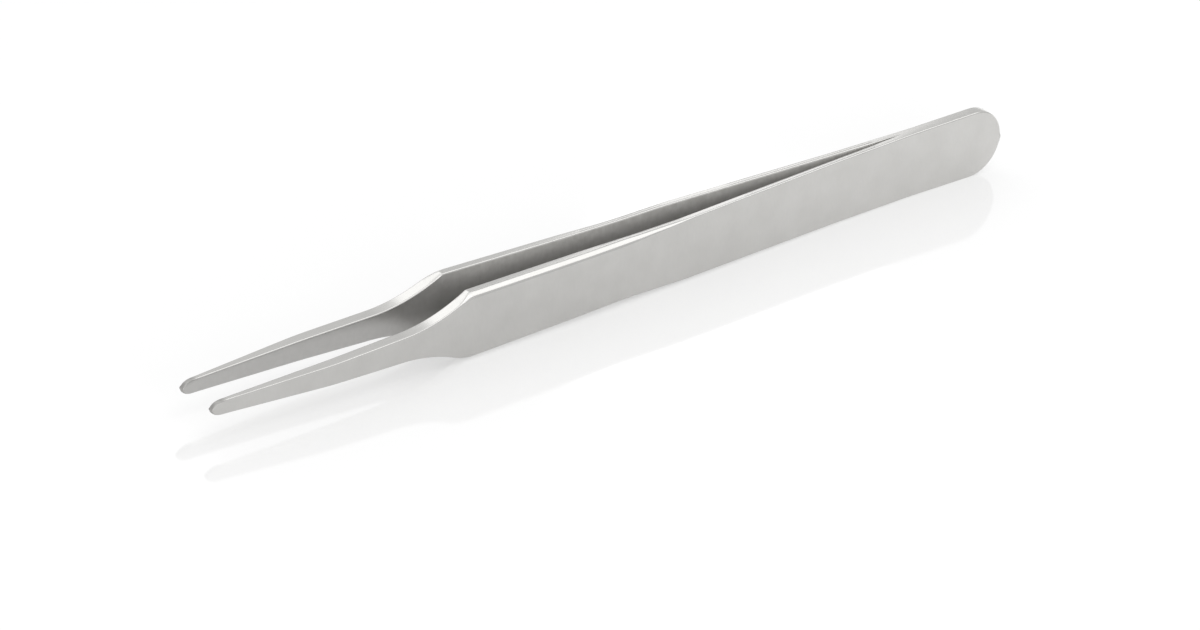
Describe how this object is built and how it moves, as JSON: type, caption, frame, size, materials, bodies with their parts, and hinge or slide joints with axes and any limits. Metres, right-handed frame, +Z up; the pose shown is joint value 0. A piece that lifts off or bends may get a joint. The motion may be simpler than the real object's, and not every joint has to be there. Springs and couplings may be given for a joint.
{
  "type": "tweezers",
  "caption": "Flat-tipped sprung tweezers: slim bare stainless arms welded at the heel, with bevelled handles, cut-in necks and rounded flat tips.",
  "frame": {"origin": "middle of the bounding box, at the height of the surface that the arms' lower long edges lie on", "axes": "+X along the tweezers towards the butt, tips at -X; front arm on the -Y side, rear arm on the +Y side; +Z up, across the arms' faces' width"},
  "size_m": [0.12, 0.0078, 0.0088],
  "materials": {
    "satin_steel": "finely ground satin stainless steel, with brighter ground bevels"
  },
  "bodies": {
    "rear_body": {"rear_arm": "satin_steel"},
    "front_body": {"front_arm": "satin_steel"}
  },
  "joints": [
    {"name": "squeeze", "type": "hinge", "parent": "rear_body", "child": "front_body", "pos_m": [0.046, 0, 0.00438], "axis": [0, 0, -1], "range_deg": [0, 2.64], "stiffness_Nm_per_rad": 1.5}
  ]
}
